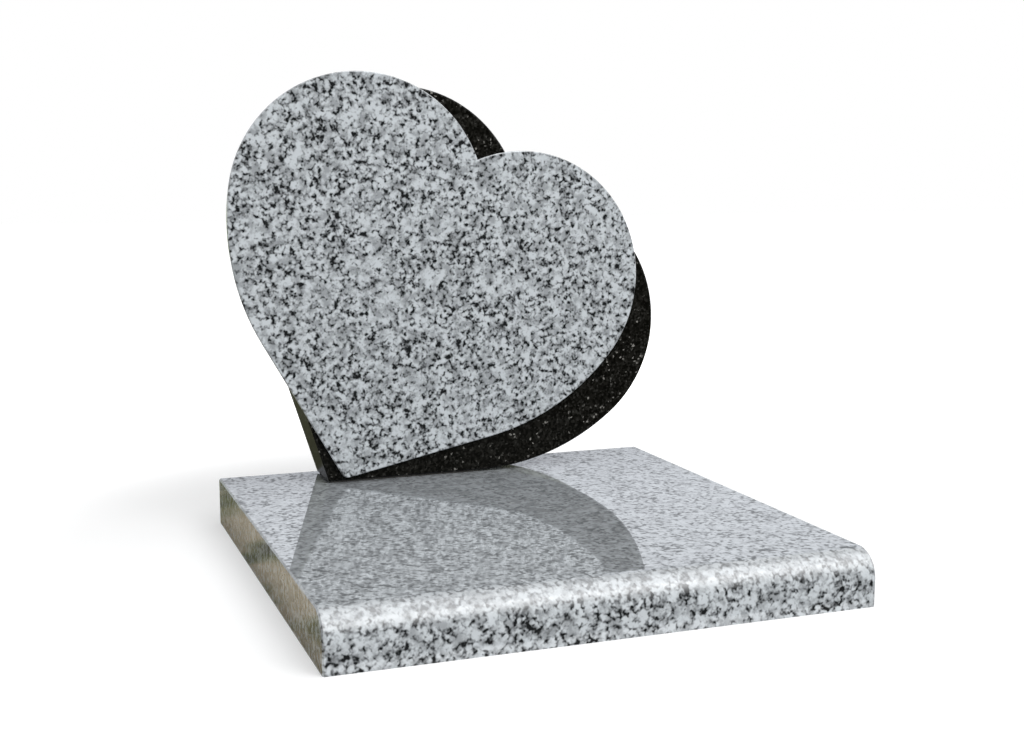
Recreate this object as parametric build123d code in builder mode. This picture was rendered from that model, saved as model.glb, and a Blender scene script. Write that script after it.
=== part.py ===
# Cremation memorial of polished granite: a square base slab with a rounded front edge, a black heart that
# stands on the base on one of its straight sides, and a thin pale heart bonded to the black one's face.
# Millimetres, +Z up, the front towards -Y, the origin at the middle of the base's underside.
import os
from math import asin, atan2, cos, degrees, hypot, radians, sin, sqrt

from build123d import *

# Base slab
base_width = 500
base_depth = 500
base_height = 50
base_front_round = 25
base_arris = 1.5

# Heart outline, the same for both hearts
heart_width = 475
heart_height = 413
cleft_depth = 42
flank_radius = 252
flank_swell_angle = 5.7

# Rear heart
rear_thickness = 60
rear_tip_x = -143
rear_back_setback = 7
rear_arris = 1.5

# Front heart, which leans less than the rear heart
front_thickness = 6
front_tip_offset = 16
front_tip_rise = 5
front_tip_round = 8
front_turn_back_angle = 12
front_arris = 1

# Setting bed under the rear heart's foot
bed_thickness = 2
bed_inset = 2.5

# Dowels between the base and the rear heart, with their places along the foot as shares of its length
dowel_diameter = 12
dowel_length = 90
dowel_floor = 15
dowel_end_chamfer = 1
dowel_clearance = 0.3
dowel_end_gap = 2
dowel_place_shares = (0.25, 0.75)

# Lobe circle, which meets the widest point, the top and the cleft of one half of the heart
half_width = heart_width / 2
lobe_radius = half_width + cleft_depth - sqrt(2 * half_width * cleft_depth)
lobe_x = half_width - lobe_radius
lobe_y = heart_height - lobe_radius

# Straight side from the tip, flatter by the swell angle than the tangent from the tip to the lobe
lobe_distance = hypot(lobe_x, lobe_y)
lobe_bearing = degrees(atan2(lobe_y, lobe_x))
side_angle = lobe_bearing - degrees(asin(lobe_radius / lobe_distance)) - flank_swell_angle

# Flank arc, tangent to the straight side at its end and to the lobe
lobe_along = lobe_distance * cos(radians(lobe_bearing - side_angle))
lobe_off = lobe_distance * sin(radians(lobe_bearing - side_angle))
side_length = lobe_along - sqrt((flank_radius - lobe_radius) ** 2 - (flank_radius - lobe_off) ** 2)
flank_arc = degrees(atan2(lobe_along - side_length, flank_radius - lobe_off))
cleft_bearing = degrees(atan2(lobe_radius - cleft_depth, -lobe_x))
lobe_arc = cleft_bearing - (side_angle + flank_arc - 90)

# Planes and levels that the pieces share
rear_face_y = base_depth / 2 - rear_back_setback - rear_thickness
rear_middle_y = rear_face_y + rear_thickness / 2
foot_z = base_height + bed_thickness
front_tip_x = rear_tip_x + front_tip_offset
front_tip_z = base_height + front_tip_rise
front_turn = side_angle - front_turn_back_angle

# Dowel sockets
socket_radius = dowel_diameter / 2 + dowel_clearance
base_socket_depth = base_height - dowel_floor
rear_socket_depth = dowel_length - base_socket_depth - bed_thickness + dowel_end_gap
dowel_places = [rear_tip_x + share * side_length for share in dowel_place_shares]

os.makedirs("parts", exist_ok=True)


# Plane of the rear heart's face, from a heart's tip, with its Y axis along the heart's lean to the right
def heart_plane(tip_x, tip_z, turn):
    across = (cos(radians(turn)), 0, -sin(radians(turn)))
    return Plane(origin=(tip_x, rear_face_y, tip_z), x_dir=across, z_dir=(0, -1, 0))


# Heart outline, tip at the origin: a straight side, a flank and a lobe up to the cleft, then mirrored
with BuildLine() as heart_outline:
    side = PolarLine((0, 0), side_length, side_angle)
    flank = JernArc(side @ 1, side % 1, flank_radius, flank_arc)
    JernArc(flank @ 1, flank % 1, lobe_radius, lobe_arc)
    mirror(about=Plane.YZ)

# Base slab, sharp underneath, with a rounded front edge and a small arris elsewhere
with BuildPart() as base:
    Box(base_width, base_depth, base_height, align=(Align.CENTER, Align.CENTER, Align.MIN))
    front_edge = base.edges().filter_by(Axis.X).group_by(Axis.Z)[-1].sort_by(Axis.Y)[0]
    fillet(front_edge, radius=base_front_round)
    end_edges = base.faces().filter_by(Axis.X).edges()
    back_edge = base.edges().filter_by(Axis.X).group_by(Axis.Z)[-1].sort_by(Axis.Y)[-1]
    upper_end_edges = end_edges.filter_by_position(Axis.Z, 0, base_height, inclusive=(False, True))
    chamfer(upper_end_edges + [back_edge], length=base_arris)
    with Locations([(x, rear_middle_y, base_height) for x in dowel_places]):
        Hole(socket_radius, depth=base_socket_depth)
base.part.label = "base"
export_step(base.part, "parts/base.step")

# Rear heart, turned until one straight side lies level as its foot
with BuildPart() as rear_heart:
    with BuildSketch(heart_plane(rear_tip_x, foot_z, side_angle)):
        make_face(heart_outline.edges())
    extrude(amount=-rear_thickness)
    chamfer(rear_heart.faces().filter_by(Axis.Y).edges(), length=rear_arris)
    with Locations([(x, rear_middle_y, foot_z) for x in dowel_places]):
        Hole(socket_radius, depth=rear_socket_depth)
rear_heart.part.label = "rear_heart"
export_step(rear_heart.part, "parts/rear_heart.step")

# Front heart, bonded to the rear heart's face with its tip just clear of the base
with BuildPart() as front_heart:
    with BuildSketch(heart_plane(front_tip_x, front_tip_z, front_turn)):
        make_face(heart_outline.edges())
    extrude(amount=front_thickness)
    tip_edge = front_heart.edges().filter_by(Axis.Y).sort_by(Axis.Z)[0]
    fillet(tip_edge, radius=front_tip_round)
    chamfer(front_heart.faces().filter_by(Axis.Y).edges(), length=front_arris)
front_heart.part.label = "front_heart"
export_step(front_heart.part, "parts/front_heart.step")

# Setting bed between the base and the rear heart's foot, pierced by the dowels
bed_length = side_length - bed_inset
bed_depth = rear_thickness - 2 * bed_inset
with BuildPart() as setting_bed:
    with BuildSketch(Plane.XY.offset(base_height)):
        with Locations((rear_tip_x + bed_inset, rear_middle_y)):
            Rectangle(bed_length, bed_depth, align=(Align.MIN, Align.CENTER))
        with Locations([(x, rear_middle_y) for x in dowel_places]):
            Circle(socket_radius, mode=Mode.SUBTRACT)
    extrude(amount=bed_thickness)
setting_bed.part.label = "setting_bed"
export_step(setting_bed.part, "parts/setting_bed.step")

# Dowels, each standing on the floor of its socket in the base
for number, dowel_x in enumerate(dowel_places, start=1):
    with BuildPart() as dowel:
        with Locations((dowel_x, rear_middle_y, dowel_floor)):
            Cylinder(dowel_diameter / 2, dowel_length, align=(Align.CENTER, Align.CENTER, Align.MIN))
        chamfer(dowel.edges().filter_by(GeomType.CIRCLE), length=dowel_end_chamfer)
    dowel.part.label = f"dowel_{number}"
    export_step(dowel.part, f"parts/dowel_{number}.step")
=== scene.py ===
from math import cos, pi, radians, sin

import bpy
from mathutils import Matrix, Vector


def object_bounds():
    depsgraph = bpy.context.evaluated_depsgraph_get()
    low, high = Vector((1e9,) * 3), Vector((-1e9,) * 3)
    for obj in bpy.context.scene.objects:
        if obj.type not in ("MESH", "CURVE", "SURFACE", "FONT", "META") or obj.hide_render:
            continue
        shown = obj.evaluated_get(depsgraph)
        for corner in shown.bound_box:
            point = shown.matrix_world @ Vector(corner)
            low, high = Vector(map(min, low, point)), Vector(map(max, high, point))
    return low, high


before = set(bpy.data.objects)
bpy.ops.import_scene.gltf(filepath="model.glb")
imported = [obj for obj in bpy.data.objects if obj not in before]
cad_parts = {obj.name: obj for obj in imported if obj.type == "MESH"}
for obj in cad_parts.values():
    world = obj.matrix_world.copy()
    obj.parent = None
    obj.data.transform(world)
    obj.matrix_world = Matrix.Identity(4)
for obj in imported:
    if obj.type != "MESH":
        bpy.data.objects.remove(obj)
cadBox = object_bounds()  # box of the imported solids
print("frame loaded,", len(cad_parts), "nodes")

white = (1.0, 1.0, 1.0)
mmPerMetre = 1000.0


# a node of a material tree, with its settings and its inputs given by socket name or number
def addNode(tree, kind, inputs=None, **settings):
    node = tree.nodes.new("ShaderNode" + kind)
    for name, value in settings.items():
        setattr(node, name, value)
    for socket, value in (inputs or {}).items():
        if isinstance(value, bpy.types.NodeSocket):
            tree.links.new(value, node.inputs[socket])
        else:
            node.inputs[socket].default_value = value
    return node


def startMaterial(name):
    material = bpy.data.materials.new(name)
    material.use_nodes = True
    material.node_tree.nodes.clear()
    return material, material.node_tree


def endMaterial(tree, shader):
    addNode(tree, "OutputMaterial", {"Surface": shader})


def mathNode(tree, operation, first, second=0.0, third=0.0):
    return addNode(tree, "Math", {0: first, 1: second, 2: third}, operation=operation).outputs[0]


# goes from one value to another as the factor goes from 0 to 1
def blendValue(tree, factor, start, end):
    return mathNode(tree, "MULTIPLY_ADD", factor, end - start, start)


def rangeNode(tree, value, low, high, toLow=0.0, toHigh=1.0):
    inputs = {"Value": value, "From Min": low, "From Max": high, "To Min": toLow, "To Max": toHigh}
    return addNode(tree, "MapRange", inputs, interpolation_type="SMOOTHSTEP").outputs["Result"]


def rampNode(tree, value, stops):
    node = addNode(tree, "ValToRGB", {"Fac": value})
    elements = node.color_ramp.elements
    while len(elements) < len(stops):
        elements.new(1.0)
    for element, (position, colour) in zip(elements, stops):
        element.position = position
        element.color = (*colour, 1.0)
    return node.outputs["Color"]


def mixColour(tree, factor, first, second):
    node = addNode(tree, "Mix", {0: factor}, data_type="RGBA")
    for socket, colour in ((node.inputs[6], first), (node.inputs[7], second)):
        if isinstance(colour, bpy.types.NodeSocket):
            tree.links.new(colour, socket)
        else:
            socket.default_value = (*colour, 1.0)
    return node.outputs[2]


# place on the object, by axis
def placeByAxis(tree):
    return addNode(tree, "SeparateXYZ", {0: addNode(tree, "TexCoord").outputs["Object"]}).outputs


# how far the surface faces along each axis
def facingByAxis(tree):
    return addNode(tree, "SeparateXYZ", {0: addNode(tree, "NewGeometry").outputs["Normal"]}).outputs


# place inside the stone in millimetres, so that the grain runs through the solid as in a cut block
def placeInStone(tree, slant=(0.0, 0.0, 0.0)):
    place = addNode(tree, "TexCoord").outputs["Object"]
    scaled = addNode(tree, "VectorMath", {0: place, "Scale": mmPerMetre}, operation="SCALE")
    turned = {"Vector": scaled.outputs[0], "Rotation": slant}
    return addNode(tree, "VectorRotate", turned, rotation_type="EULER_XYZ").outputs[0]


def noiseAt(tree, place, size, octaves=2.0, octaveGain=0.5):
    inputs = {"Vector": place, "Scale": 1 / size, "Detail": octaves, "Roughness": octaveGain}
    return addNode(tree, "TexNoise", inputs, noise_dimensions="3D").outputs


# slow swing about zero, which makes some places of the stone richer in crystals than others
def swingNoise(tree, place, size, gain):
    return mathNode(tree, "MULTIPLY_ADD", noiseAt(tree, place, size)["Fac"], gain, -gain / 2)


# bends straight crystal borders by up to reach millimetres
def warpPlace(tree, place, size, reach):
    noise = noiseAt(tree, place, size)["Color"]
    centred = addNode(tree, "VectorMath", {0: noise, 1: (0.5, 0.5, 0.5)}, operation="SUBTRACT")
    shift = addNode(tree, "VectorMath", {0: centred.outputs[0], "Scale": 2 * reach}, operation="SCALE")
    return addNode(tree, "VectorMath", {0: place, 1: shift.outputs[0]}, operation="ADD").outputs[0]


# one random value for each crystal, blended a little at the borders
def crystalValue(tree, place, size, blend):
    inputs = {"Vector": place, "Scale": 1 / size, "Smoothness": blend, "Randomness": 1.0}
    cells = addNode(tree, "TexVoronoi", inputs, feature="SMOOTH_F1", voronoi_dimensions="3D")
    return addNode(tree, "SeparateColor", {"Color": cells.outputs["Color"]}).outputs["Red"]


# dark crystals of random size, some cells with none, larger where gather is high
def spotMask(tree, place, gather, size, skip, reach, soft):
    inputs = {"Vector": place, "Scale": 1 / size, "Randomness": 1.0}
    spots = addNode(tree, "TexVoronoi", inputs, feature="F1", voronoi_dimensions="3D")
    pick = addNode(tree, "SeparateColor", {"Color": spots.outputs["Color"]}).outputs["Red"]
    swell = mathNode(tree, "MULTIPLY_ADD", pick, reach, -reach * skip)
    edge = mathNode(tree, "SUBTRACT", spots.outputs["Distance"], mathNode(tree, "ADD", swell, gather))
    return rangeNode(tree, edge, -soft, soft, 1.0, 0.0)


# pale grey granite: feldspar, smoky quartz and black mica, polished, with grain sizes in millimetres
greyGranite = {
    "slant": (0.61, 0.37, 0.83),  # radians, as the block was sawn at a slant to its grain
    "feldspar": (0.625, 0.661, 0.687),
    "quartz": (0.350, 0.370, 0.385),
    "mica": (0.0130, 0.0138, 0.0144),
    "quartzSize": 11.4,
    "quartzOctaves": 3.0,
    "quartzRange": (0.411, 0.646),
    "micaSize": 4.81,
    "micaOctaves": 1.09,
    "micaRange": (0.405, 0.713),
    "octaveGain": 0.6,
    "flecks": {"size": 3.51, "skip": 0.777, "reach": 1.043, "soft": 0.200},
    "fleckDepth": 0.62,
    "clusterSize": 18.0,
    "clusterGain": 0.39,
    "warpSize": 4.66,
    "warpReach": 1.1,
    "raggedSize": 3.5,
    "raggedReach": 0.943,
    "refraction": 1.5,
    "roughness": 0.03,
    "micaRoughness": 0.08,
    "shine": 0.5,
    "micaShine": 0.05,  # mica takes little polish on the flat faces
    "coat": 1.0,
    "micaCoat": 0.05,
    "coatRoughness": 0.015,
    "roundFacing": (0.94, 0.995),  # between the axes lies the rounded edge
    "roundRoughness": 0.22,
    "endFacing": (0.80, 0.95),  # the slab's left and right ends
    "endRoughness": 0.16,
    "upFacing": (0.15, 0.75),  # painted shade: the colour is pulled towards a mid grey where the stone faces up
    "paintedTopShade": (0.315, 0.331, 0.344),
    "paintedTopShadeCover": 0.42,
}


# colour of the grey stone, and where its dark crystals are
def greyGrain(tree, look):
    place = placeInStone(tree, look["slant"])
    bent = warpPlace(tree, place, look["warpSize"], look["warpReach"])
    ragged = warpPlace(tree, bent, look["raggedSize"], look["raggedReach"])
    gather = swingNoise(tree, place, look["clusterSize"], look["clusterGain"])
    smoke = noiseAt(tree, ragged, look["quartzSize"], look["quartzOctaves"], look["octaveGain"])["Fac"]
    quartz = rangeNode(tree, smoke, *look["quartzRange"])
    colour = mixColour(tree, quartz, look["feldspar"], look["quartz"])
    flecks = spotMask(tree, ragged, gather, **look["flecks"])
    faint = mathNode(tree, "MULTIPLY", flecks, look["fleckDepth"])
    colour = mixColour(tree, faint, colour, look["mica"])
    flakes = noiseAt(tree, bent, look["micaSize"], look["micaOctaves"], look["octaveGain"])["Fac"]
    mica = rangeNode(tree, mathNode(tree, "ADD", flakes, gather), *look["micaRange"])
    colour = mixColour(tree, mica, colour, look["mica"])
    return colour, mathNode(tree, "MAXIMUM", flecks, mica)


def makeGreyGranite(look):
    material, tree = startMaterial("greyGranite")
    colour, dark = greyGrain(tree, look)
    facing = facingByAxis(tree)
    acrossX, acrossY, acrossZ = [mathNode(tree, "ABSOLUTE", facing[axis]) for axis in ("X", "Y", "Z")]
    squarest = mathNode(tree, "MAXIMUM", acrossX, mathNode(tree, "MAXIMUM", acrossY, acrossZ))
    rounded = rangeNode(tree, squarest, *look["roundFacing"], 1.0, 0.0)
    end = rangeNode(tree, acrossX, *look["endFacing"])
    # painted shade on the up-facing faces, which darkens their colour
    paintedTopShade = rangeNode(tree, facing["Z"], *look["upFacing"], 0.0, look["paintedTopShadeCover"])
    flat = mathNode(tree, "SUBTRACT", 1.0, mathNode(tree, "MAXIMUM", rounded, end))
    dull = mathNode(tree, "MULTIPLY", dark, flat)
    worn = mathNode(tree, "MULTIPLY", rounded, look["roundRoughness"])
    worn = mathNode(tree, "MULTIPLY_ADD", end, look["endRoughness"], worn)
    rough = blendValue(tree, dark, look["roughness"], look["micaRoughness"])
    shader = addNode(tree, "BsdfPrincipled", {
        "Base Color": mixColour(tree, paintedTopShade, colour, look["paintedTopShade"]),
        "Roughness": mathNode(tree, "ADD", worn, rough),
        "IOR": look["refraction"],
        "Specular IOR Level": blendValue(tree, dull, look["shine"], look["micaShine"]),
        "Coat Weight": blendValue(tree, dull, look["coat"], look["micaCoat"]),
        "Coat Roughness": mathNode(tree, "ADD", worn, look["coatRoughness"]),
        "Coat IOR": look["refraction"],
    })
    endMaterial(tree, shader.outputs[0])
    return material


# near black granite with fine pale flecks, polished on its faces and duller on its rim
blackGranite = {
    "slant": (0.52, 0.91, 0.27),
    "grainSize": 2.2,
    "grainBlend": 0.2,
    "warpSize": 3.0,
    "warpReach": 0.9,
    "cloudSize": 20.0,
    "cloudGain": 0.25,
    "tones": (
        (0.15, (0.0030, 0.0029, 0.0022)),
        (0.45, (0.0066, 0.0064, 0.0052)),
        (0.70, (0.0120, 0.0115, 0.0096)),
        (0.86, (0.0188, 0.0182, 0.0160)),
        (0.94, (0.0262, 0.0255, 0.0228)),
        (0.965, (0.0500, 0.0488, 0.0445)),
        (1.00, (0.2200, 0.2130, 0.1960)),
    ),
    "refraction": 1.5,
    "shine": 0.08,
    "faceFacing": (0.2, 0.8),
    "faceRoughness": 0.03,
    "rimRoughness": 0.28,
}


def makeBlackGranite(look):
    material, tree = startMaterial("blackGranite")
    place = placeInStone(tree, look["slant"])
    bent = warpPlace(tree, place, look["warpSize"], look["warpReach"])
    grain = crystalValue(tree, bent, look["grainSize"], look["grainBlend"])
    tone = mathNode(tree, "ADD", grain, swingNoise(tree, place, look["cloudSize"], look["cloudGain"]))
    across = mathNode(tree, "ABSOLUTE", facingByAxis(tree)["Y"])
    rough = rangeNode(tree, across, *look["faceFacing"], look["rimRoughness"], look["faceRoughness"])
    shader = addNode(tree, "BsdfPrincipled", {
        "Base Color": rampNode(tree, tone, look["tones"]),
        "Roughness": rough,
        "IOR": look["refraction"],
        "Specular IOR Level": look["shine"],
    })
    endMaterial(tree, shader.outputs[0])
    return material


# dark setting compound in the joint under the rear heart
settingCompound = {
    "grainSize": 1.2,
    "octaves": 3.0,
    "octaveGain": 0.6,
    "tones": ((0.3, (0.020, 0.020, 0.019)), (0.7, (0.055, 0.054, 0.050))),
    "roughness": 0.85,
    "bumpStrength": 0.4,
    "bumpDepth": 0.0004,
}


def makeSettingCompound(look):
    material, tree = startMaterial("settingCompound")
    place = placeInStone(tree)
    grain = noiseAt(tree, place, look["grainSize"], look["octaves"], look["octaveGain"])["Fac"]
    bump = addNode(tree, "Bump", {
        "Height": grain,
        "Strength": look["bumpStrength"],
        "Distance": look["bumpDepth"],
    })
    shader = addNode(tree, "BsdfPrincipled", {
        "Base Color": rampNode(tree, grain, look["tones"]),
        "Roughness": look["roughness"],
        "Normal": bump.outputs["Normal"],
    })
    endMaterial(tree, shader.outputs[0])
    return material


# plain drawn stainless bar of the hidden dowels
dowelSteel = {
    "lineSize": 0.5,
    "lineStretch": (1.0, 1.0, 0.03),  # the drawing lines run along the bar
    "octaves": 3.0,
    "octaveGain": 0.6,
    "tones": ((0.3, (0.48, 0.48, 0.47)), (0.7, (0.62, 0.62, 0.61))),
    "lineRange": (0.3, 0.7),
    "roughness": (0.28, 0.42),
}


def makeDowelSteel(look):
    material, tree = startMaterial("dowelSteel")
    stretch = {0: placeInStone(tree), 1: look["lineStretch"]}
    place = addNode(tree, "VectorMath", stretch, operation="MULTIPLY").outputs[0]
    lines = noiseAt(tree, place, look["lineSize"], look["octaves"], look["octaveGain"])["Fac"]
    shader = addNode(tree, "BsdfPrincipled", {
        "Base Color": rampNode(tree, lines, look["tones"]),
        "Roughness": rangeNode(tree, lines, *look["lineRange"], *look["roughness"]),
        "Metallic": 1.0,
    })
    endMaterial(tree, shader.outputs[0])
    return material


greyStone = makeGreyGranite(greyGranite)
blackStone = makeBlackGranite(blackGranite)
compound = makeSettingCompound(settingCompound)
steel = makeDowelSteel(dowelSteel)
finishes = {
    "base": greyStone,
    "rear_heart": blackStone,
    "front_heart": greyStone,
    "setting_bed": compound,
    "dowel_1": steel,
    "dowel_2": steel,
}
for nodeName, finish in finishes.items():
    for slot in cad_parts[nodeName].material_slots:
        slot.material = finish
print("stones finished")


# a flat rectangle of the studio, which isn't part of the memorial
def flatCard(name, low, high, height, material):
    corners = [(low[0], low[1]), (high[0], low[1]), (high[0], high[1]), (low[0], high[1])]
    mesh = bpy.data.meshes.new(name)
    mesh.from_pydata([(x, y, height) for x, y in corners], [], [(0, 1, 2, 3)])
    card = bpy.data.objects.new(name, mesh)
    bpy.context.scene.collection.objects.link(card)
    mesh.materials.append(material)
    return card


# 1 where the camera looks straight at the surface, or sees it in a mirror or through glass
def seenDirectly(tree):
    path = addNode(tree, "LightPath").outputs
    seen = mathNode(tree, "MAXIMUM", path["Is Camera Ray"], path["Is Glossy Ray"])
    return mathNode(tree, "MAXIMUM", seen, path["Is Transmission Ray"])


# pale floor that keeps the shadow and fades to white away from the slab
floorLook = {"reach": 8.0, "colour": (0.6, 0.6, 0.6), "lift": 0.45, "fadeRange": (0.45, 0.9)}


def makeFloor(look):
    material, tree = startMaterial("paleFloor")
    diffuse = addNode(tree, "BsdfDiffuse", {"Color": (*look["colour"], 1.0)})
    place = addNode(tree, "TexCoord").outputs["Object"]
    away = addNode(tree, "VectorMath", {0: place}, operation="LENGTH").outputs["Value"]
    fade = rangeNode(tree, away, *look["fadeRange"], look["lift"], 1.0)
    glow = addNode(tree, "Emission", {"Strength": mathNode(tree, "MULTIPLY", seenDirectly(tree), fade)})
    both = addNode(tree, "AddShader", {0: diffuse.outputs[0], 1: glow.outputs[0]})
    endMaterial(tree, both.outputs[0])
    reach = look["reach"]
    flatCard("floor", (-reach, -reach), (reach, reach), 0.0, material)


makeFloor(floorLook)


# how much a card covers, from nothing at its edges to all at the given widths inside them
def coverNode(tree, look):
    left, right, near, far = look["softEdges"]  # near is the lower edge and far the upper on a standing card
    edges = (
        ("X", look["low"][0], left),
        ("X", look["high"][0], -right),
        ("Y", look["low"][1], near),
        ("Y", look["high"][1], -far),
    )
    place = placeByAxis(tree)
    cover = 1.0
    for axis, edge, inward in edges:
        inside = rangeNode(tree, place[axis], edge, edge + inward)
        cover = mathNode(tree, "MULTIPLY", cover, inside)
    return cover


cardHeight = 0.0005  # just above the floor


# a card that only shows as a reflection in the polish, laid on the floor or standing across the view
def placeCard(name, look, shader, material, tree):
    if "softEdges" in look:
        clear = addNode(tree, "BsdfTransparent").outputs[0]
        shader = addNode(tree, "MixShader", {0: coverNode(tree, look), 1: clear, 2: shader}).outputs[0]
    endMaterial(tree, shader)
    card = flatCard(name, look["low"], look["high"], cardHeight, material)
    if "standsAt" in look:
        card.rotation_euler = (radians(90), 0.0, 0.0)
        card.location = (0.0, look["standsAt"], 0.0)
    card.visible_camera = False
    card.visible_diffuse = False
    card.visible_shadow = False


# cloth flags round the slab, which keep the white floor out of the polish; the camera doesn't see them, so
# their dark, grey and olive colours are painted reflections in the stones
slabHalf = cadBox[1][0]
seam = 0.0001  # so that neighbouring flags don't overlap
besideSlab = slabHalf + 2 * seam
frontLine = -0.27
sideLine = -0.36
sideStart = -0.30
backLine = 0.40
hardEdge = 0.001
darkCloth = (0.02, 0.02, 0.02)
greyCloth = (0.25, 0.25, 0.25)
oliveCloth = (0.22, 0.226, 0.136)
flags = {
    "frontFlag": {"low": (-3.0, -3.2), "high": (5.0, frontLine), "colour": darkCloth},
    "screenFlag": {
        "low": (-3.0, -0.5),
        "high": (5.0, 1.25),
        "colour": darkCloth,
        "standsAt": -3.2,
        "softEdges": (0.5, 0.5, hardEdge, 0.4),
    },
    # painted reflection: dark, olive and beige patches mirrored in the slab's left side
    "sideFlag": {
        "low": (sideLine, sideStart),
        "high": (-besideSlab, backLine),
        "patchSize": 120.0,
        "tones": ((0.36, (0.06, 0.054, 0.036)), (0.45, (0.23, 0.24, 0.12)), (0.54, (0.56, 0.48, 0.34))),
    },
    "backFlag": {
        "low": (-2.0, backLine + seam),
        "high": (2.0, 3.0),
        "colour": oliveCloth,
        "softEdges": (0.8, 0.8, hardEdge, 1.8),
    },
    "footFlag": {"low": (-slabHalf, besideSlab), "high": (2.0, backLine), "colour": oliveCloth},
    "rightFlag": {
        "low": (besideSlab, frontLine),
        "high": (5.0, slabHalf),
        "colour": greyCloth,
        "softEdges": (hardEdge, 1.0, hardEdge, hardEdge),
    },
    "leftFlag": {
        "low": (-5.0, sideStart),
        "high": (sideLine, backLine),
        "colour": greyCloth,
        "softEdges": (1.0, hardEdge, hardEdge, hardEdge),
    },
}


def addFlag(name, look):
    material, tree = startMaterial(name)
    if "tones" in look:
        patches = noiseAt(tree, placeInStone(tree), look["patchSize"])["Fac"]
        colour = rampNode(tree, patches, look["tones"])
    else:
        colour = (*look["colour"], 1.0)
    cloth = addNode(tree, "BsdfDiffuse", {"Color": colour})
    placeCard(name, look, cloth.outputs[0], material, tree)


for flagName, flag in flags.items():
    addFlag(flagName, flag)

# pale blue glowing card behind the memorial, greyer towards the floor, which the camera doesn't see: a
# painted reflection of sky in the slab's top
skyCard = {
    "low": (-4.0, 0.0),
    "high": (4.0, 3.0),
    "standsAt": 3.0,
    "tones": (
        (0.09, (0.50, 0.56, 0.38)),
        (0.15, (0.48, 0.50, 0.54)),
        (0.21, (0.64, 0.665, 0.72)),
        (0.28, (0.82, 0.85, 0.91)),
    ),
}


def addSkyCard(look):
    material, tree = startMaterial("skyCard")
    share = mathNode(tree, "DIVIDE", placeByAxis(tree)["Y"], look["high"][1])
    glow = addNode(tree, "Emission", {"Color": rampNode(tree, share, look["tones"])})
    placeCard("skyCard", look, glow.outputs[0], material, tree)


addSkyCard(skyCard)
print("floor and flags laid")

# plain white surroundings, seen at full white and lighting the stones more softly
surround = {"lightStrength": 0.28, "seenStrength": 1.0}
world = bpy.data.worlds.new("surround")
bpy.context.scene.world = world
world.use_nodes = True
worldTree = world.node_tree
worldTree.nodes.clear()
seen = seenDirectly(worldTree)
strength = blendValue(worldTree, seen, surround["lightStrength"], surround["seenStrength"])
background = addNode(worldTree, "Background", {"Color": (*white, 1.0), "Strength": strength})
addNode(worldTree, "OutputWorld", {"Surface": background.outputs[0]})

# large soft boxes aimed at the memorial's middle: two that the polish mirrors and a fill that it doesn't,
# with angles in degrees
lights = {
    "frontLight": {
        "turn": 20,
        "lift": 44,
        "away": 6.4,
        "size": (7.0, 3.2),
        "glow": 2.7,
        "colour": white,
        "mirrored": True,
    },
    "overheadLight": {
        "turn": 60,
        "lift": 66,
        "away": 6.0,
        "size": (5.2, 5.0),
        "glow": 2.6,
        "colour": (0.97, 0.985, 1.0),
        "mirrored": True,
    },
    "fillLight": {
        "turn": 10,
        "lift": 22,
        "away": 6.4,
        "size": (8.0, 5.0),
        "glow": 0.87,
        "colour": white,
        "mirrored": False,
    },
}
aim = Vector((0.0, 0.0, 0.25))


def addLight(name, look):
    turn = radians(look["turn"])
    lift = radians(look["lift"])
    heading = Vector((sin(turn) * cos(lift), -cos(turn) * cos(lift), sin(lift)))
    width, height = look["size"]
    lamp = bpy.data.lights.new(name, "AREA")
    lamp.shape = "RECTANGLE"
    lamp.size = width
    lamp.size_y = height
    lamp.energy = pi * width * height * look["glow"]  # watts for this surface brightness
    lamp.color = look["colour"]
    lampObject = bpy.data.objects.new(name, lamp)
    lampObject.location = aim + heading * look["away"]
    lampObject.rotation_euler = heading.to_track_quat("Z", "Y").to_euler()
    lampObject.visible_camera = False
    lampObject.visible_glossy = look["mirrored"]
    bpy.context.scene.collection.objects.link(lampObject)


for lightName, light in lights.items():
    addLight(lightName, light)
print("lights set")

# camera at the picture's angle
eye = {
    "location": (-0.4753, -1.2732, 0.3924),
    "turnRight": 20.398,
    "tiltDown": 8.565,
    "lens": 49.64,
    "sensor": 36.0,
}
cameraData = bpy.data.cameras.new("camera")
cameraData.lens = eye["lens"]
cameraData.sensor_width = eye["sensor"]
camera = bpy.data.objects.new("camera", cameraData)
camera.location = eye["location"]
camera.rotation_euler = (radians(90 - eye["tiltDown"]), 0.0, radians(-eye["turnRight"]))
bpy.context.scene.collection.objects.link(camera)
bpy.context.scene.camera = camera
bpy.context.scene.view_settings.view_transform = "Standard"
print("camera set")
